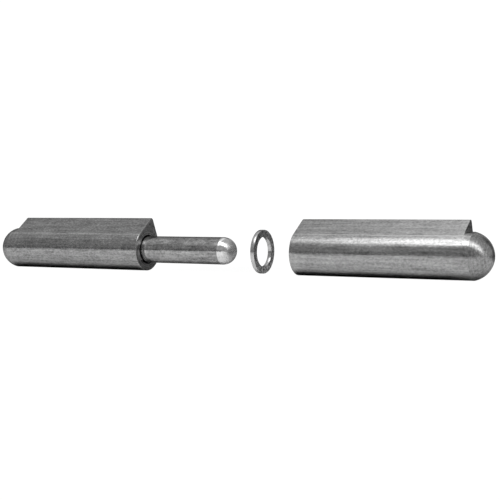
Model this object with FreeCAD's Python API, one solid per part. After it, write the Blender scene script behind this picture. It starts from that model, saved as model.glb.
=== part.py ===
# Weld-on lift-off hinge of teardrop bar, with its two halves drawn apart along the hinge axis.
# Millimetres. X runs along the hinge axis, from the pin half to the socket half, and Z is up.
# The origin is on the hinge axis, at the pin half's bearing face.
import FreeCAD, Part
import math
import os

# Teardrop bar, the same in both halves
barrel_diameter = 16.0
nose_reach = 12.1         # hinge axis to the nose's edge
nose_radius = 1.2
edge_break = 0.35         # on the outline of the bearing face

# Turned, domed end of each half
half_length = 69.25       # bearing face to the tip of the dome
dome_diameter = 15.8
turned_length = 8.75      # the nose is cut off square this far from the tip
shoulder_fillet = 0.4     # left by the tool's rounded corner at the foot of that cut

# Blind bores in the bearing faces
bore_depth = 40.0
bore_chamfer = 0.5
drill_point_angle = 118.0

# Hinge pin
pin_diameter = 10.0
pin_reach = 38.0          # out of the pin half, round nose included
pin_end_chamfer = 0.8
pin_end_gap = 0.2         # between the pin's hidden end and the full-bore bottom
pin_half_clearance = 0.05     # radial
socket_half_clearance = 0.08  # radial

# Thrust washer
washer_diameter = 15.6
washer_hole_diameter = 10.7
washer_thickness = 1.5
washer_edge_break = 0.15

# Where the loose pieces lie, measured from the pin half's bearing face
washer_place = 48.35
socket_place = 63.5

# How far each half's nose leans back from upright, in degrees
pin_half_lean = 13.5
socket_half_lean = 17.5

ORIGIN = FreeCAD.Vector(0, 0, 0)
X_AXIS = FreeCAD.Vector(1, 0, 0)
Z_AXIS = FreeCAD.Vector(0, 0, 1)
SAME_POINT = 0.001        # points closer together than this are one


def turned(outline_edges):
    """A solid of revolution about the X axis, from edges that close on that axis."""
    face = Part.Face(Part.Wire(outline_edges))
    return face.revolve(ORIGIN, X_AXIS, 360)


def outline(points):
    """Straight edges through (along, radius) pairs, in the XZ plane."""
    corners = [FreeCAD.Vector(along, 0, radius) for along, radius in points]
    return [Part.makeLine(start, end) for start, end in zip(corners, corners[1:])]


def round_nose(centre, radius):
    """A quarter circle in the XZ plane, from the side of a round bar to its tip."""
    side = FreeCAD.Vector(centre, 0, radius)
    middle = FreeCAD.Vector(centre + radius * math.cos(math.pi / 4), 0, radius * math.sin(math.pi / 4))
    tip = FreeCAD.Vector(centre + radius, 0, 0)
    return Part.Arc(side, middle, tip).toShape()


def teardrop_face():
    """The bar's section, with its nose straight up and the hinge axis at its centre."""
    barrel = barrel_diameter / 2
    nose_centre = nose_reach - nose_radius
    flank = math.acos((barrel - nose_radius) / nose_centre)   # from upright to a flank's normal
    across = math.sin(flank)
    up = math.cos(flank)
    barrel_left = FreeCAD.Vector(0, -barrel * across, barrel * up)
    barrel_right = FreeCAD.Vector(0, barrel * across, barrel * up)
    nose_left = FreeCAD.Vector(0, -nose_radius * across, nose_centre + nose_radius * up)
    nose_right = FreeCAD.Vector(0, nose_radius * across, nose_centre + nose_radius * up)
    edges = [
        Part.Arc(barrel_left, FreeCAD.Vector(0, 0, -barrel), barrel_right).toShape(),
        Part.makeLine(barrel_right, nose_right),
        Part.Arc(nose_right, FreeCAD.Vector(0, 0, nose_reach), nose_left).toShape(),
        Part.makeLine(nose_left, barrel_left),
    ]
    return Part.Face(Part.Wire(edges))


def lathe_envelope():
    """What the lathe leaves: all of the bar up to the shoulder, then a round, domed end."""
    dome_radius = dome_diameter / 2
    dome_centre = half_length - dome_radius
    shoulder = half_length - turned_length
    uncut_bar = Part.makeCylinder(2 * nose_reach, shoulder, ORIGIN, X_AXIS)
    round_end = Part.makeCylinder(dome_radius, dome_centre, ORIGIN, X_AXIS)
    dome = Part.makeSphere(dome_radius, FreeCAD.Vector(dome_centre, 0, 0))
    envelope = uncut_bar.fuse([round_end, dome]).removeSplitter()
    shoulder_centre = X_AXIS * shoulder
    rims = [edge for edge in envelope.Edges if edge.BoundBox.Center.isEqual(shoulder_centre, SAME_POINT)]
    foot = min(rims, key=lambda edge: edge.Length)
    return envelope.makeFillet(shoulder_fillet, [foot])


def blank():
    """One half before it is bored: bearing face at the origin, dome towards +X, nose up."""
    bar = teardrop_face().extrude(X_AXIS * half_length)
    body = bar.common(lathe_envelope()).removeSplitter()
    rim = [edge for edge in body.Edges if edge.BoundBox.XMax < edge_break]
    return body.makeChamfer(edge_break, rim)


def blind_bore(diameter):
    """The drilled hole as a solid, from the bearing face to its drill point."""
    radius = diameter / 2
    point = radius / math.tan(math.radians(drill_point_angle / 2))
    profile = [
        (0, 0),
        (0, radius + bore_chamfer),
        (bore_chamfer, radius),
        (bore_depth, radius),
        (bore_depth + point, 0),
        (0, 0),
    ]
    return turned(outline(profile))


def knuckle(clearance):
    """A bored half, with the pin's radial clearance in its bore."""
    return blank().cut(blind_bore(pin_diameter + 2 * clearance))


def pin_knuckle():
    """The half that holds the pin, turned round so that its dome points towards -X."""
    half = knuckle(pin_half_clearance)
    half.rotate(ORIGIN, Z_AXIS, 180)
    half.rotate(ORIGIN, X_AXIS, -pin_half_lean)
    return half


def socket_knuckle():
    """The half that lifts off the pin."""
    half = knuckle(socket_half_clearance)
    half.rotate(ORIGIN, X_AXIS, -socket_half_lean)
    half.translate(X_AXIS * socket_place)
    return half


def hinge_pin():
    """Plain round pin, chamfered at the end in the pin half and round-nosed at the free end."""
    radius = pin_diameter / 2
    hidden_end = pin_end_gap - bore_depth
    nose_centre = pin_reach - radius
    side = outline([
        (hidden_end, 0),
        (hidden_end, radius - pin_end_chamfer),
        (hidden_end + pin_end_chamfer, radius),
        (nose_centre, radius),
    ])
    centre_line = outline([(pin_reach, 0), (hidden_end, 0)])
    return turned(side + [round_nose(nose_centre, radius)] + centre_line)


def thrust_washer():
    """Flat ring with its four edges broken."""
    inner = washer_hole_diameter / 2
    outer = washer_diameter / 2
    ring = Part.makeCylinder(outer, washer_thickness, ORIGIN, X_AXIS)
    hole = Part.makeCylinder(inner, washer_thickness, ORIGIN, X_AXIS)
    washer = ring.cut(hole)
    rims = [edge for edge in washer.Edges if isinstance(edge.Curve, Part.Circle)]
    washer = washer.makeChamfer(washer_edge_break, rims)
    washer.translate(X_AXIS * washer_place)
    return washer


parts = {
    "pin_knuckle": pin_knuckle(),
    "hinge_pin": hinge_pin(),
    "thrust_washer": thrust_washer(),
    "socket_knuckle": socket_knuckle(),
}

os.makedirs("parts", exist_ok=True)
for name, shape in parts.items():
    solid = shape.Solids[0]
    solid.exportStep(os.path.join("parts", name + ".step"))
    print(name, "valid", solid.isValid(), "volume", round(solid.Volume, 1), "mm3")
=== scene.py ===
import math
import bmesh
import bpy
from mathutils import Matrix, Vector


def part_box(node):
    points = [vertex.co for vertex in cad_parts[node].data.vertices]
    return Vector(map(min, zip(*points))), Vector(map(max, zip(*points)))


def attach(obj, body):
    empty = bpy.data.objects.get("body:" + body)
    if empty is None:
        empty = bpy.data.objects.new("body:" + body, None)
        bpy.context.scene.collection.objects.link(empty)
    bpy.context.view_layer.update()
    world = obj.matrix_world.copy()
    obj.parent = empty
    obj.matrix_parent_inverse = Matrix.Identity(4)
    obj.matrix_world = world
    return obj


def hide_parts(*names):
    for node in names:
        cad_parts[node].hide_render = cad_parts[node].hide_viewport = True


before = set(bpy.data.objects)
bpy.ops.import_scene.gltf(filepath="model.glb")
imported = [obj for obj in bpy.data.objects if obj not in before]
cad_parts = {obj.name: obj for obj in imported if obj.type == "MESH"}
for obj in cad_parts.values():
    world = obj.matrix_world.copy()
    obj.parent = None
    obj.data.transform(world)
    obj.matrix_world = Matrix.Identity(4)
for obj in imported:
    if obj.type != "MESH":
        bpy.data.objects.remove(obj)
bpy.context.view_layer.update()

# A weld-on lift-off hinge of teardrop bar, drawn apart along its own axis. Metres.
# X runs along the hinge axis from the pin half to the socket half, and the origin is on that axis,
# at the pin half's bearing face.
MM = 0.001
AXIS = Vector((1, 0, 0))
ORIGIN = Vector((0, 0, 0))

PIN_HALF_LOW, PIN_HALF_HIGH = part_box("pin_knuckle")
SOCKET_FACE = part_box("socket_knuckle")[0].x
PIN_LOW, PIN_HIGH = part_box("hinge_pin")
WASHER_LOW, WASHER_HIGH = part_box("thrust_washer")

# Teardrop bar, the same in both halves, with its nose leaning back from upright
BARREL_RADIUS = -PIN_HALF_LOW.z
NOSE_REACH = 12.097 * MM
NOSE_RADIUS = 1.2 * MM
FLANK_TILT = math.acos((BARREL_RADIUS - NOSE_RADIUS) / (NOSE_REACH - NOSE_RADIUS))
HALF_LENGTH = PIN_HALF_HIGH.x - PIN_HALF_LOW.x
FACE_EDGE = 0.35 * MM
PIN_HALF_LEAN = math.radians(13.5)
SOCKET_HALF_LEAN = math.radians(17.5)

# Turned end, from the dome's tip: where the nose is cut off and where the dome starts. Between the
# two the barrel keeps its own skin.
TURNED_LENGTH = 8.75 * MM
DOME_LENGTH = 6.25 * MM
SHOULDER_FILLET = 0.4 * MM
SHOULDER_EDGE = 0.05 * MM

# Each half's dome where the skin ends: its radius, and how far its middle lies below the hinge axis
PIN_HALF_DOME = (7.8 * MM, 0.2 * MM)
SOCKET_HALF_DOME = (7.88 * MM, 0.12 * MM)

# Blind bores, by their depth, mouth, drill point and radius
BORE_DEPTH = 40.0 * MM
BORE_CHAMFER = 0.5 * MM
DRILL_POINT = math.radians(118)
PIN_HALF_BORE = 5.05 * MM
SOCKET_HALF_BORE = 5.08 * MM

# Pin and washer
PIN_RADIUS = PIN_HIGH.z
PIN_END_CHAMFER = 0.8 * MM
WASHER_RADIUS = WASHER_HIGH.z
WASHER_HOLE_RADIUS = 5.35 * MM
WASHER_EDGE = 0.15 * MM

# How finely the rounds are cut
BARREL_STEPS = 128
FLANK_STEPS = 20
NOSE_STEPS = 14
DOME_STEPS = 40
FILLET_STEPS = 5
LATHE_STEPS = 160
FACE_EDGE_STEPS = 4
SHOULDER_EDGE_STEPS = 2
WASHER_EDGE_STEPS = 3

# Where each finish stands in the list of its piece
DRAWN, FACED, TURNED, BORED = range(4)
PIN_SIDE, PIN_NOSE = range(2)
WASHER_FACE, WASHER_RIM = range(2)

# A faint highlight painted along each bar where the flank meets the barrel: how bright it is, how
# far it reaches to each side, and how far past the flank's end it lies on each half's barrel
PAINTED_HIGHLIGHT = 0.4
PAINTED_HIGHLIGHT_REACH = math.radians(4.5)
PIN_HALF_PAINTED_HIGHLIGHT = math.radians(6)
SOCKET_HALF_PAINTED_HIGHLIGHT = math.radians(2)

# A highlight painted on the pin as a light ring just outside the bore: how bright it is, and where
# it starts, is full, fades and has gone, in millimetres along the hinge axis
PIN_ROOT_PAINTED_HIGHLIGHT = 0.5
PIN_ROOT_HIGHLIGHT_SPAN = (0, 0.96, 1.28, 3.2)

# An edge where the surface turns by more than this is a corner, and isn't shaded smooth
SHARP = math.radians(32)

# Points closer together than this are one
SAME_POINT = 0.001 * MM

# The photograph's viewpoint: what the camera looks at, how far round to the right it stands, how
# far it looks down, how far away it is, and its lens
CAMERA_TARGET = Vector((44.03, 0, 0.5)) * MM
CAMERA_TURN = math.radians(29.0)
CAMERA_DROP = math.radians(2.02)
CAMERA_AWAY = 382.1 * MM
CAMERA_LENS = 76.87
CAMERA_SENSOR = 36

# How far the table top reaches from the hinge
TABLE_FRONT = 115 * MM
TABLE_BACK = 45 * MM
TABLE_SIDE = 2.0

# The paper on it is pale, with painted shadow under the two halves and painted shade behind the
# pin. The painted dark starts, is full, fades and has gone at these places, in millimetres along
# and across the hinge axis.
PAPER_PALE = 0.98
PAPER_PAINTED_SHADE = 0.12
SHADOW_UNDER_PIN_HALF = (-63, -57, -2, 3)
SHADOW_UNDER_SOCKET_HALF = (55.5, 63.5, 116.5, 126.5)
SHADOW_UNDER_ACROSS = (-5.5, -2, -1, 3)
SHADE_BEHIND_PIN = (-2, 3, 36, 50)
SHADE_BEHIND_ACROSS = (3, 10)

# The share of the paper's shadows and shades that the photograph's cut-out leaves out
SHADOW_CUT = 0.94

# How bright the backdrop is, the room on each side, and the lights in it
BACKDROP = 1.05
ROOM_LOW = 0.24
ROOM_FRONT = 0.44
ROOM_TOP = 0.65
ROOM_BACK_LEFT = 0.36
ROOM_BACK_RIGHT = 0.22
ROOM_OPENING = 0.6
STRIP_BRIGHT = 3.8
STRIP_FAINT = 3.3
WALL_GLOW = 0.82

# Where the light changes. The climb of a direction is in degrees, from 0 in front over 90 overhead
# to 180 behind. Its lean is how far it points along the hinge axis, from -1 to 1. Two numbers are
# where a change starts and ends, and four are where a light starts, is full, fades and has gone.
# The glow on the back wall fades along its lean before it is full.
FRONT_CLIMB = (2, 18)
TOP_CLIMB = (20, 100)
BACK_CLIMB = (115, 150)
BACK_LEAN = (-0.3, 0.3)
OPENING_LEAN = (-0.2, -0.06, 0.1, 0.24)
FAR_OPENING_LEAN = (0.52, 0.66)
BRIGHT_LEAN = (-0.5, -0.25, -0.15, 0.05)
BRIGHT_CLIMB = (57, 69)
FAINT_LEAN = (-0.2, 0.05, 1.0, 1.2)
FAINT_CLIMB = (42, 57, 64, 84)
GLOW_LEAN = (-0.52, -0.2, -0.26, -0.12)
GLOW_CLIMB = (70, 95, 118, 145)

# The bright light gets narrower over this range of lean. Its full part stays, and it starts and has
# gone at these climbs at the two ends of the range.
NARROWING_LEAN = (-0.25, -0.18)
BRIGHT_START_CLIMB = (40, 48)
BRIGHT_GONE_CLIMB = (94, 80)


def verts_in(made):
    return [item for item in made["geom"] if isinstance(item, bmesh.types.BMVert)]


def edges_among(verts):
    """The edges that have both ends among these points."""
    known = set(verts)
    found = {edge for vert in verts for edge in vert.link_edges if set(edge.verts) <= known}
    return list(found)


def sweep(bm, start, centre, axis, turn, steps):
    """Turns a point round a centre and returns the points of the arc, in order."""
    first = bm.verts.new(start)
    before = set(bm.verts)
    bmesh.ops.spin(bm, geom=[first], cent=centre, axis=axis, angle=turn, steps=steps)
    arc = [first]
    while len(arc) <= steps:
        onward = [edge.other_vert(arc[-1]) for edge in arc[-1].link_edges]
        arc.append(next(vert for vert in onward if vert not in before and vert not in arc))
    return arc


def bar_section(bm):
    """The bar's outline as one closed ring of points at the bearing face, with its nose up."""
    leaning = Vector((0, math.sin(FLANK_TILT), math.cos(FLANK_TILT)))
    barrel_turn = 2 * FLANK_TILT - 2 * math.pi
    barrel = sweep(bm, leaning * BARREL_RADIUS, ORIGIN, AXIS, barrel_turn, BARREL_STEPS)
    leaning.y = -leaning.y
    middle = Vector((0, 0, NOSE_REACH - NOSE_RADIUS))
    nose = sweep(bm, middle + leaning * NOSE_RADIUS, middle, AXIS, -2 * FLANK_TILT, NOSE_STEPS)
    flanks = [
        bm.edges.new((barrel[-1], nose[0])),
        bm.edges.new((nose[-1], barrel[0])),
    ]
    bmesh.ops.subdivide_edges(bm, edges=flanks, cuts=FLANK_STEPS - 1)
    return list(bm.verts)


def put(vert, along, radius):
    """Moves a point along the hinge axis and straight in or out from it."""
    vert.co = Vector((0, vert.co.y, vert.co.z)).normalized() * radius
    vert.co.x = along


def carry_on(bm, ring, along, radius=None):
    """Carries the wall on from a ring to a place along the axis, on a circle if given a radius."""
    onward = verts_in(bmesh.ops.extrude_edge_only(bm, edges=edges_among(ring)))
    for vert in onward:
        put(vert, along, vert.co.yz.length if radius is None else radius)
    return onward


def close_at(bm, ring, along):
    """Brings a ring together at one point of the axis."""
    onward = carry_on(bm, ring, along, ring[0].co.yz.length / 2)
    bmesh.ops.pointmerge(bm, verts=onward, merge_co=AXIS * along)


def mark_new(bm, done, finish):
    """Gives the faces made since the last mark their finish, by its place in the piece's list."""
    for face in set(bm.faces) - done:
        face.material_index = finish
    return set(bm.faces)


def off_nose(place):
    """How far round the bar a place lies from the nose's middle."""
    return abs(math.atan2(place.y, place.z))


def fillet_place(vert, part, drop):
    """How far along and out the fillet puts a point, from the fillet's start, 0, to its foot, 1."""
    reach = BARREL_RADIUS / math.cos(max(0, FLANK_TILT - off_nose(vert.co)))
    foot = BARREL_RADIUS - drop * max(0, 1 - (off_nose(vert.co) / FLANK_TILT) ** 2)
    start = math.asin(max(0, 1 - (reach - foot) / SHOULDER_FILLET))
    angle = start + (math.pi / 2 - start) * part
    along = SHOULDER_FILLET * (1 - math.cos(angle))
    return along, foot + SHOULDER_FILLET * (1 - math.sin(angle))


def turn_shoulder(bm, rim, shoulder, drop):
    """Cuts the nose away to just below the barrel, with the tool's fillet at the cut's foot."""
    for vert in rim:
        vert.co.x += fillet_place(vert, 0, drop)[0]
    ring = rim
    made = []
    for step in range(FILLET_STEPS + 1):
        ring = carry_on(bm, ring, shoulder)
        for vert in ring:
            along, radius = fillet_place(vert, step / FILLET_STEPS, drop)
            put(vert, shoulder + along, radius)
        made += ring
    doubles = bmesh.ops.find_doubles(bm, verts=rim + made, keep_verts=rim, dist=SAME_POINT)
    kept = doubles["targetmap"]
    foot = [kept.get(vert, vert) for vert in ring]
    bmesh.ops.weld_verts(bm, targetmap=kept)
    return foot


def mark_skin(bm, done):
    """Leaves the bar's own skin on the barrel as far as the dome, but not under the nose's cut."""
    for face in set(bm.faces) - done:
        under_cut = off_nose(face.calc_center_median()) < FLANK_TILT
        face.material_index = TURNED if under_cut else DRAWN
    return set(bm.faces)


def turn_dome(bm, ring, dome_radius, dome_drop):
    """Closes the end with part of a ball, which meets the barrel at a slight edge."""
    ball = (DOME_LENGTH ** 2 + dome_radius ** 2) / (2 * DOME_LENGTH)
    low = math.asin(1 - DOME_LENGTH / ball)
    for step in range(1, DOME_STEPS):
        rise = low + (math.pi / 2 - low) * step / DOME_STEPS
        ring = carry_on(bm, ring, HALF_LENGTH - ball * (1 - math.sin(rise)), ball * math.cos(rise))
    close_at(bm, ring, HALF_LENGTH)
    dome_start = HALF_LENGTH - DOME_LENGTH - SAME_POINT
    dome = [vert for vert in bm.verts if vert.co.x > dome_start]
    bmesh.ops.translate(bm, vec=(0, 0, -dome_drop), verts=dome)


def half_shell(bore_radius, dome_radius, dome_drop):
    """One bored half, nose up, with its bearing face at the origin and its dome towards +X."""
    shoulder = HALF_LENGTH - TURNED_LENGTH
    bm = bmesh.new()
    face_rim = bar_section(bm)
    shoulder_rim = carry_on(bm, face_rim, shoulder)
    done = mark_new(bm, set(), DRAWN)

    ring = turn_shoulder(bm, shoulder_rim, shoulder, BARREL_RADIUS - dome_radius + dome_drop)
    done = mark_new(bm, done, FACED)
    ring = carry_on(bm, ring, HALF_LENGTH - DOME_LENGTH, dome_radius)
    done = mark_skin(bm, done)
    turn_dome(bm, ring, dome_radius, dome_drop)
    done = mark_new(bm, done, TURNED)

    mouth = carry_on(bm, face_rim, 0, bore_radius + BORE_CHAMFER)
    done = mark_new(bm, done, FACED)
    ring = carry_on(bm, mouth, BORE_CHAMFER, bore_radius)
    ring = carry_on(bm, ring, BORE_DEPTH, bore_radius)
    close_at(bm, ring, BORE_DEPTH + bore_radius / math.tan(DRILL_POINT / 2))
    mark_new(bm, done, BORED)

    break_edges(bm, edges_among(face_rim), FACE_EDGE, FACE_EDGE_STEPS)
    cut_rim = [edge for edge in edges_among(shoulder_rim) if edge.calc_face_angle(0) > SHARP]
    break_edges(bm, cut_rim, SHOULDER_EDGE, SHOULDER_EDGE_STEPS)
    return bm


def break_edges(bm, edges, width, segments):
    """Rounds sharp edges over, as a file or a tumbling barrel leaves them."""
    bmesh.ops.bevel(
        bm,
        geom=edges,
        offset=width,
        offset_type="OFFSET",
        affect="EDGES",
        segments=segments,
        profile=0.5,
        material=-1,
        clamp_overlap=True,
    )


def lathe(profile, closed=False):
    """Turns a profile of (along, radius) pairs right round the axis. A closed one makes a ring."""
    bm = bmesh.new()
    corners = [bm.verts.new((along, 0, radius)) for along, radius in profile]
    pairs = list(zip(corners, corners[1:]))
    if closed:
        pairs.append((corners[-1], corners[0]))
    sides = [bm.edges.new(pair) for pair in pairs]
    bmesh.ops.spin(
        bm,
        geom=corners + sides,
        cent=ORIGIN,
        axis=AXIS,
        angle=2 * math.pi,
        steps=LATHE_STEPS,
        use_merge=True,
    )
    bmesh.ops.remove_doubles(bm, verts=bm.verts, dist=SAME_POINT)
    return bm


def finish_piece(bm, name, finishes, body, node):
    """Turns a shell into a finished piece that stands for its node and moves with its body."""
    bmesh.ops.recalc_face_normals(bm, faces=bm.faces)
    for edge in bm.edges:
        same_finish = len({face.material_index for face in edge.link_faces}) == 1
        edge.smooth = same_finish and edge.calc_face_angle(0) < SHARP
    for face in bm.faces:
        face.smooth = True
    mesh = bpy.data.meshes.new(name)
    bm.to_mesh(mesh)
    bm.free()
    piece = bpy.data.objects.new(name, mesh)
    bpy.context.scene.collection.objects.link(piece)
    for finish in finishes:
        mesh.materials.append(finish)
    shading = piece.modifiers.new("even_shading", "WEIGHTED_NORMAL")
    shading.keep_sharp = True
    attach(piece, body)
    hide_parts(node)


def turn_about(bm, axis, angle):
    """Turns a shell about an axis through the origin."""
    bmesh.ops.rotate(bm, cent=ORIGIN, matrix=Matrix.Rotation(angle, 3, axis), verts=bm.verts)


def pin_half(end_finishes):
    """The left half, turned round so that its dome points towards -X."""
    bm = half_shell(PIN_HALF_BORE, *PIN_HALF_DOME)
    turn_about(bm, "Z", math.pi)
    turn_about(bm, "X", -PIN_HALF_LEAN)
    skin = drawn_bar(
        "pin_half_bar",
        greys=(0.105, 0.455),
        speckle=1.2,
        lean=PIN_HALF_LEAN,
        painted_highlight_place=PIN_HALF_PAINTED_HIGHLIGHT,
    )
    finishes = [skin, *end_finishes]
    finish_piece(bm, "pin_half_body", finishes, "pin_half", "pin_knuckle")


def socket_half(end_finishes):
    """The right half, which lifts off the pin."""
    bm = half_shell(SOCKET_HALF_BORE, *SOCKET_HALF_DOME)
    turn_about(bm, "X", -SOCKET_HALF_LEAN)
    bmesh.ops.translate(bm, vec=AXIS * SOCKET_FACE, verts=bm.verts)
    skin = drawn_bar(
        "socket_half_bar",
        greys=(0.135, 0.505),
        speckle=1.0,
        lean=SOCKET_HALF_LEAN,
        painted_highlight_place=SOCKET_HALF_PAINTED_HIGHLIGHT,
    )
    finishes = [skin, *end_finishes]
    finish_piece(bm, "socket_half_body", finishes, "socket_half", "socket_knuckle")


def pin():
    """The hinge pin: dull along its length, with a polished round nose."""
    nose_centre = PIN_HIGH.x - PIN_RADIUS
    profile = [
        (PIN_LOW.x, 0),
        (PIN_LOW.x, PIN_RADIUS - PIN_END_CHAMFER),
        (PIN_LOW.x + PIN_END_CHAMFER, PIN_RADIUS),
        (nose_centre, PIN_RADIUS),
    ]
    for step in range(1, DOME_STEPS + 1):
        rise = math.pi / 2 * step / DOME_STEPS
        profile.append((nose_centre + PIN_RADIUS * math.sin(rise), PIN_RADIUS * math.cos(rise)))
    bm = lathe(profile)
    for face in bm.faces:
        on_nose = face.calc_center_median().x > nose_centre
        face.material_index = PIN_NOSE if on_nose else PIN_SIDE
    finish_piece(bm, "pin_body", [pin_side(), polished_nose()], "pin", "hinge_pin")


def washer():
    """The thrust washer: two turned faces, a rim and a hole, with the four edges rounded over."""
    profile = [
        (WASHER_LOW.x, WASHER_HOLE_RADIUS),
        (WASHER_LOW.x, WASHER_RADIUS),
        (WASHER_HIGH.x, WASHER_RADIUS),
        (WASHER_HIGH.x, WASHER_HOLE_RADIUS),
    ]
    bm = lathe(profile, closed=True)
    for face in bm.faces:
        across_axis = abs(face.normal.x) > 0.5
        face.material_index = WASHER_FACE if across_axis else WASHER_RIM
    corners = [edge for edge in bm.edges if edge.calc_face_angle(0) > SHARP]
    break_edges(bm, corners, WASHER_EDGE, WASHER_EDGE_STEPS)
    finishes = [washer_face(), washer_rim()]
    finish_piece(bm, "washer_ring", finishes, "washer", "thrust_washer")


def add_node(tree, kind, inputs=None, **settings):
    """A node with its settings, whose inputs are linked to a socket or given a value."""
    node = tree.nodes.new("ShaderNode" + kind)
    for name, value in settings.items():
        setattr(node, name, value)
    for name, value in (inputs or {}).items():
        if isinstance(value, bpy.types.NodeSocket):
            tree.links.new(value, node.inputs[name])
        else:
            node.inputs[name].default_value = value
    return node


def math_node(tree, operation, first, second=0.0, third=0.0):
    return add_node(tree, "Math", {0: first, 1: second, 2: third}, operation=operation).outputs[0]


def span(tree, value, low, high, kind="LINEAR", start=0.0, end=1.0):
    """Maps a value's range start to end on to low to high."""
    inputs = {"Value": value, "From Min": start, "From Max": end, "To Min": low, "To Max": high}
    return add_node(tree, "MapRange", inputs, interpolation_type=kind).outputs["Result"]


def window(tree, value, start, full, fade, gone):
    """One between full and fade, and softly down to nothing at start and gone."""
    coming = span(tree, value, 0, 1, "SMOOTHSTEP", start, full)
    going = span(tree, value, 1, 0, "SMOOTHSTEP", fade, gone)
    return math_node(tree, "MULTIPLY", coming, going)


def place_on(tree):
    """Where a point lies on the piece, in the hinge's own frame."""
    return add_node(tree, "TexCoord").outputs["Object"]


def parts_of(tree, vector):
    """The X, Y and Z of a vector, by their names."""
    return add_node(tree, "SeparateXYZ", {0: vector}).outputs


def place_in_mm(tree):
    """Where a point lies on the piece, as X, Y and Z in millimetres."""
    scaled = add_node(tree, "VectorMath", {0: place_on(tree), "Scale": 1 / MM}, operation="SCALE")
    return parts_of(tree, scaled.outputs["Vector"])


def grain(tree, stretch, detail, seed=(0, 0, 0)):
    """Noise with so many waves to the metre along X, Y and Z."""
    mapping = {"Vector": place_on(tree), "Location": seed, "Scale": stretch}
    moved = add_node(tree, "Mapping", mapping).outputs["Vector"]
    inputs = {"Vector": moved, "Scale": 1.0, "Detail": detail, "Roughness": 0.5}
    return add_node(tree, "TexNoise", inputs).outputs[0]


def tool_marks(tree, distance, per_metre):
    """The uneven grooves that a lathe tool leaves one after another over a distance."""
    inputs = {"W": distance, "Scale": per_metre, "Detail": 3.0, "Roughness": 0.6}
    return add_node(tree, "TexNoise", inputs, noise_dimensions="1D").outputs[0]


def rings(tree, per_metre):
    """Tool marks in rings about the hinge axis, across a flat face."""
    flat = add_node(tree, "VectorMath", {0: place_on(tree), 1: (0, 1, 1)}, operation="MULTIPLY")
    radius = add_node(tree, "VectorMath", {0: flat.outputs[0]}, operation="LENGTH").outputs["Value"]
    return tool_marks(tree, radius, per_metre)


def bands(tree, per_metre):
    """Tool marks in rings about the hinge axis, along a round surface."""
    return tool_marks(tree, parts_of(tree, place_on(tree))["X"], per_metre)


def blend(tree, *parts):
    """Adds patterns, each with its share, round a middle of one half."""
    total = 0.5
    for pattern, share in parts:
        swing = math_node(tree, "SUBTRACT", pattern, 0.5)
        total = math_node(tree, "MULTIPLY_ADD", swing, share, total)
    return total


def new_finish(name):
    """An empty material with its Principled shader, and the tree it is in."""
    material = bpy.data.materials.new(name)
    material.use_nodes = True
    tree = material.node_tree
    shader = tree.nodes["Principled BSDF"]
    shader.inputs["Metallic"].default_value = 1.0
    shader.inputs["Specular Tint"].default_value = (0.5, 0.5, 0.5, 1)
    return material, tree, shader


def grey(value):
    return (value, value, value, 1)


def dress(tree, shader, shade, wear, relief, greys, roughness, depth):
    """Bare steel: its shade runs between two greys, its wear between two values of roughness."""
    # A Mix node has its two colours at inputs 6 and 7, and the mixed one at output 2
    colours = {"Factor": shade, 6: grey(greys[0]), 7: grey(greys[1])}
    colour = add_node(tree, "Mix", colours, data_type="RGBA").outputs[2]
    tree.links.new(colour, shader.inputs["Base Color"])
    tree.links.new(span(tree, wear, *roughness), shader.inputs["Roughness"])
    bump = add_node(tree, "Bump", {"Height": relief, "Distance": depth, "Strength": 1.0})
    tree.links.new(bump.outputs["Normal"], shader.inputs["Normal"])


def drawn_bar(name, greys, speckle, lean, painted_highlight_place):
    """Cold-drawn bar: fine lines, cloudy patches, small specks and a painted highlight by each
    flank.
    """
    material, tree, shader = new_finish(name)
    lines = grain(tree, (60, 1500, 1500), detail=3)
    clouds = grain(tree, (160, 300, 300), detail=3, seed=(3, 1, 2))
    specks = grain(tree, (1100, 1700, 1700), detail=2, seed=(7, 5, 1))
    shade = blend(tree, (lines, 0.9), (clouds, 0.5), (specks, speckle))
    place = parts_of(tree, place_on(tree))
    round_bar = math_node(tree, "ARCTAN2", place["Y"], place["Z"])
    off_middle = math_node(tree, "ABSOLUTE", math_node(tree, "SUBTRACT", round_bar, lean))
    # Painted highlight: the colour is lightened in a narrow band just past each flank's edge
    middle = FLANK_TILT + painted_highlight_place
    painted_highlight = window(tree, off_middle, middle - PAINTED_HIGHLIGHT_REACH, middle, middle, middle + PAINTED_HIGHLIGHT_REACH)
    shade = math_node(tree, "MULTIPLY_ADD", painted_highlight, PAINTED_HIGHLIGHT, shade)
    wear = blend(tree, (clouds, 0.8), (specks, 0.6))
    relief = blend(tree, (lines, 0.6), (clouds, 1.2), (specks, 0.35))
    dress(
        tree,
        shader,
        shade=shade,
        wear=wear,
        relief=relief,
        greys=greys,
        roughness=(0.12, 0.30),
        depth=0.03 * MM,
    )
    return material


def faced_end():
    """A face cut on the lathe, with its tool marks in rings."""
    material, tree, shader = new_finish("faced_end")
    marks = rings(tree, 2400)
    clouds = grain(tree, (900, 900, 900), detail=3)
    shade = blend(tree, (marks, 1.4), (clouds, 2.0))
    relief = blend(tree, (marks, 0.8), (clouds, 0.8))
    dress(
        tree,
        shader,
        shade=shade,
        wear=clouds,
        relief=relief,
        greys=(0.08, 0.31),
        roughness=(0.26, 0.38),
        depth=0.02 * MM,
    )
    return material


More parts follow.
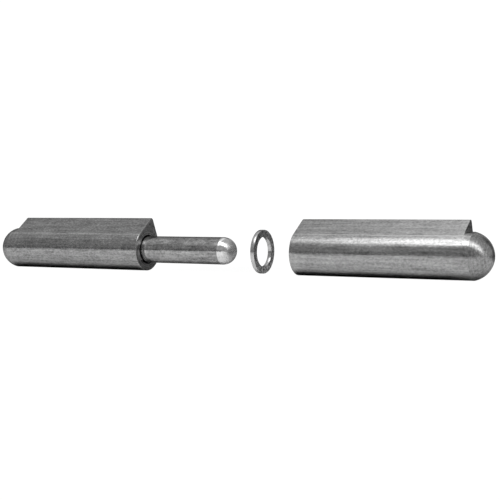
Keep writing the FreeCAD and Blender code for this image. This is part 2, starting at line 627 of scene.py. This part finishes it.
def turned_dome():
    """The turned end, with its tool marks in rings along the axis."""
    material, tree, shader = new_finish("turned_dome")
    marks = bands(tree, 2400)
    clouds = grain(tree, (260, 320, 320), detail=3)
    specks = grain(tree, (1300, 1500, 1500), detail=2, seed=(7, 5, 1))
    shade = blend(tree, (marks, 1.0), (clouds, 0.5), (specks, 1.3))
    relief = blend(tree, (marks, 0.3), (clouds, 1.2), (specks, 0.4))
    dress(
        tree,
        shader,
        shade=shade,
        wear=clouds,
        relief=relief,
        greys=(0.11, 0.41),
        roughness=(0.20, 0.32),
        depth=0.03 * MM,
    )
    return material


def drilled_bore():
    """The drilled wall of a bore and its mouth, painted near black as shade."""
    material, tree, shader = new_finish("drilled_bore")
    marks = bands(tree, 3000)
    clouds = grain(tree, (260, 320, 320), detail=3)
    shade = blend(tree, (marks, 0.8), (clouds, 0.4))
    relief = blend(tree, (marks, 1.0))
    # Painted shade: the greys are kept near black for the shade in the bore and its mouth
    dress(
        tree,
        shader,
        shade=shade,
        wear=clouds,
        relief=relief,
        greys=(0.03, 0.11),
        roughness=(0.28, 0.42),
        depth=0.02 * MM,
    )
    return material


def pin_side():
    """The pin's side: mottled, with faint lines along it and a painted highlight ring by the bore.
    """
    material, tree, shader = new_finish("pin_side")
    lines = grain(tree, (120, 1800, 1800), detail=2)
    clouds = grain(tree, (330, 420, 420), detail=3, seed=(2, 4, 1))
    specks = grain(tree, (1300, 1500, 1500), detail=2, seed=(7, 5, 1))
    shade = blend(tree, (lines, 0.9), (clouds, 0.8), (specks, 1.2))
    # Away from the painted highlight ring, the side keeps to the darker part of its greys
    shade = span(tree, shade, 0, 1 - PIN_ROOT_PAINTED_HIGHLIGHT)
    # Painted highlight: a light ring in the pin's colour just outside the bore
    painted_root_highlight = window(tree, place_in_mm(tree)["X"], *PIN_ROOT_HIGHLIGHT_SPAN)
    shade = math_node(tree, "MULTIPLY_ADD", painted_root_highlight, PIN_ROOT_PAINTED_HIGHLIGHT, shade)
    relief = blend(tree, (lines, 0.5), (clouds, 1.6), (specks, 0.5))
    dress(
        tree,
        shader,
        shade=shade,
        wear=clouds,
        relief=relief,
        greys=(0.12, 0.86),
        roughness=(0.12, 0.28),
        depth=0.025 * MM,
    )
    return material


def polished_nose():
    """The pin's nose: polished bright where it meets the side, and left duller towards its tip."""
    material, tree, shader = new_finish("polished_nose")
    along = parts_of(tree, place_on(tree))["X"]
    duller_from = PIN_HIGH.x - 0.7 * PIN_RADIUS
    tip = span(tree, along, 0, 1, "SMOOTHSTEP", duller_from, PIN_HIGH.x)
    clouds = grain(tree, (500, 500, 500), detail=3)
    specks = grain(tree, (1500, 1700, 1700), detail=2, seed=(7, 5, 1))
    shade = blend(tree, (clouds, 0.5), (specks, 0.7))
    shade = math_node(tree, "MULTIPLY_ADD", tip, -0.55, shade)
    wear = math_node(tree, "MULTIPLY_ADD", clouds, 0.2, math_node(tree, "MULTIPLY", tip, 0.8))
    relief = blend(tree, (clouds, 1.0), (specks, 0.8))
    dress(
        tree,
        shader,
        shade=shade,
        wear=wear,
        relief=relief,
        greys=(0.36, 0.92),
        roughness=(0.06, 0.58),
        depth=0.02 * MM,
    )
    return material


def washer_face():
    """The washer's turned faces, darker than the rest."""
    material, tree, shader = new_finish("washer_face")
    marks = rings(tree, 2600)
    specks = grain(tree, (1000, 1000, 1000), detail=2)
    shade = blend(tree, (marks, 0.8), (specks, 2.2))
    relief = blend(tree, (marks, 0.6), (specks, 1.0))
    dress(
        tree,
        shader,
        shade=shade,
        wear=specks,
        relief=relief,
        greys=(0.04, 0.42),
        roughness=(0.30, 0.50),
        depth=0.03 * MM,
    )
    return material


def washer_rim():
    """The washer's rim and hole, cut bright."""
    material, tree, shader = new_finish("washer_rim")
    marks = bands(tree, 4000)
    clouds = grain(tree, (700, 900, 900), detail=3)
    shade = blend(tree, (marks, 0.8), (clouds, 1.2))
    relief = blend(tree, (marks, 0.6), (clouds, 0.8))
    dress(
        tree,
        shader,
        shade=shade,
        wear=clouds,
        relief=relief,
        greys=(0.34, 0.58),
        roughness=(0.12, 0.24),
        depth=0.02 * MM,
    )
    return material


def floor():
    """The pale table top that the two halves lie on."""
    bm = bmesh.new()
    bmesh.ops.create_grid(bm, x_segments=1, y_segments=1, size=0.5)
    bmesh.ops.scale(bm, vec=(2 * TABLE_SIDE, TABLE_FRONT + TABLE_BACK, 1), verts=bm.verts)
    bmesh.ops.translate(bm, vec=(0, (TABLE_BACK - TABLE_FRONT) / 2, PIN_HALF_LOW.z), verts=bm.verts)
    mesh = bpy.data.meshes.new("table_top")
    bm.to_mesh(mesh)
    bm.free()
    table = bpy.data.objects.new("table_top", mesh)
    bpy.context.scene.collection.objects.link(table)
    mesh.materials.append(table_paper())


def table_paper():
    """Paper with painted shadow: the hinge mirrors it as it is, the camera sees hardly a shadow on
    it.
    """
    material = bpy.data.materials.new("table_paper")
    material.use_nodes = True
    tree = material.node_tree
    tree.nodes.clear()
    place = place_in_mm(tree)
    # Painted shadow darkens the paper under the two halves, and painted shade darkens it behind the
    # pin
    left = window(tree, place["X"], *SHADOW_UNDER_PIN_HALF)
    right = window(tree, place["X"], *SHADOW_UNDER_SOCKET_HALF)
    under = math_node(tree, "ADD", left, right)
    under = math_node(tree, "MULTIPLY", under, window(tree, place["Y"], *SHADOW_UNDER_ACROSS))
    behind = span(tree, place["Y"], 0, 1, "SMOOTHSTEP", *SHADE_BEHIND_ACROSS)
    behind = math_node(tree, "MULTIPLY", behind, window(tree, place["X"], *SHADE_BEHIND_PIN))
    shade = span(tree, math_node(tree, "MAXIMUM", under, behind), PAPER_PALE, PAPER_PAINTED_SHADE)
    paper = add_node(tree, "BsdfDiffuse", {"Color": shade})
    white = add_node(tree, "Emission", {"Color": (1, 1, 1, 1), "Strength": BACKDROP})
    seen = add_node(tree, "LightPath").outputs["Is Camera Ray"]
    share = math_node(tree, "MULTIPLY", seen, SHADOW_CUT)
    shown = add_node(tree, "MixShader", {0: share, 1: paper.outputs[0], 2: white.outputs[0]})
    add_node(tree, "OutputMaterial", {"Surface": shown.outputs[0]})
    return material


def light_patch(tree, climb_share, lean_share, strength):
    """A light that reaches its strength where both its shares are full."""
    by_lean = math_node(tree, "MULTIPLY", lean_share, strength)
    return math_node(tree, "MULTIPLY", climb_share, by_lean)


def studio_light():
    """A dim room with a long soft light overhead, parallel to the hinge, and a white backdrop."""
    world = bpy.data.worlds.new("studio")
    world.use_nodes = True
    bpy.context.scene.world = world
    tree = world.node_tree
    tree.nodes.clear()
    toward = parts_of(tree, add_node(tree, "TexCoord").outputs["Generated"])
    lean = toward["X"]
    forward = math_node(tree, "MULTIPLY", toward["Y"], -1)
    climb = math_node(tree, "DEGREES", math_node(tree, "ARCTAN2", toward["Z"], forward))

    room = span(tree, climb, ROOM_LOW, ROOM_FRONT, "SMOOTHSTEP", *FRONT_CLIMB)
    room = span(tree, climb, room, ROOM_TOP, "SMOOTHSTEP", *TOP_CLIMB)
    far_wall = span(tree, lean, ROOM_BACK_LEFT, ROOM_BACK_RIGHT, "SMOOTHSTEP", *BACK_LEAN)
    near_opening = window(tree, lean, *OPENING_LEAN)
    far_opening = span(tree, lean, 0, 1, "SMOOTHSTEP", *FAR_OPENING_LEAN)
    opening = math_node(tree, "MAXIMUM", near_opening, far_opening)
    far_wall = math_node(tree, "MULTIPLY_ADD", opening, ROOM_OPENING, far_wall)
    room = span(tree, climb, room, far_wall, "SMOOTHSTEP", *BACK_CLIMB)

    start = span(tree, lean, *BRIGHT_START_CLIMB, "LINEAR", *NARROWING_LEAN)
    gone = span(tree, lean, *BRIGHT_GONE_CLIMB, "LINEAR", *NARROWING_LEAN)
    bright = window(tree, climb, start, *BRIGHT_CLIMB, gone)
    bright = light_patch(tree, bright, window(tree, lean, *BRIGHT_LEAN), STRIP_BRIGHT)
    faint = window(tree, climb, *FAINT_CLIMB)
    faint = light_patch(tree, faint, window(tree, lean, *FAINT_LEAN), STRIP_FAINT)
    glow = window(tree, climb, *GLOW_CLIMB)
    glow = light_patch(tree, glow, window(tree, lean, *GLOW_LEAN), WALL_GLOW)

    strip = math_node(tree, "ADD", bright, faint)
    total = math_node(tree, "ADD", room, math_node(tree, "ADD", strip, glow))
    lit = add_node(tree, "Background", {"Color": (1, 1, 1, 1), "Strength": total})
    backdrop = add_node(tree, "Background", {"Color": (1, 1, 1, 1), "Strength": BACKDROP})
    seen = add_node(tree, "LightPath").outputs["Is Camera Ray"]
    shown = add_node(tree, "MixShader", {0: seen, 1: lit.outputs[0], 2: backdrop.outputs[0]})
    add_node(tree, "OutputWorld", {"Surface": shown.outputs[0]})


def camera():
    """The photograph's viewpoint."""
    data = bpy.data.cameras.new("camera")
    data.lens = CAMERA_LENS
    data.sensor_width = CAMERA_SENSOR
    viewer = bpy.data.objects.new("camera", data)
    bpy.context.scene.collection.objects.link(viewer)
    back = Vector((
        math.sin(CAMERA_TURN) * math.cos(CAMERA_DROP),
        -math.cos(CAMERA_TURN) * math.cos(CAMERA_DROP),
        math.sin(CAMERA_DROP),
    ))
    viewer.location = CAMERA_TARGET + back * CAMERA_AWAY
    viewer.rotation_mode = "QUATERNION"
    viewer.rotation_quaternion = (-back).to_track_quat("-Z", "Y")
    bpy.context.scene.camera = viewer


end_finishes = [faced_end(), turned_dome(), drilled_bore()]
pin_half(end_finishes)
socket_half(end_finishes)
pin()
washer()
floor()
studio_light()
camera()
bpy.context.scene.view_settings.view_transform = "Standard"
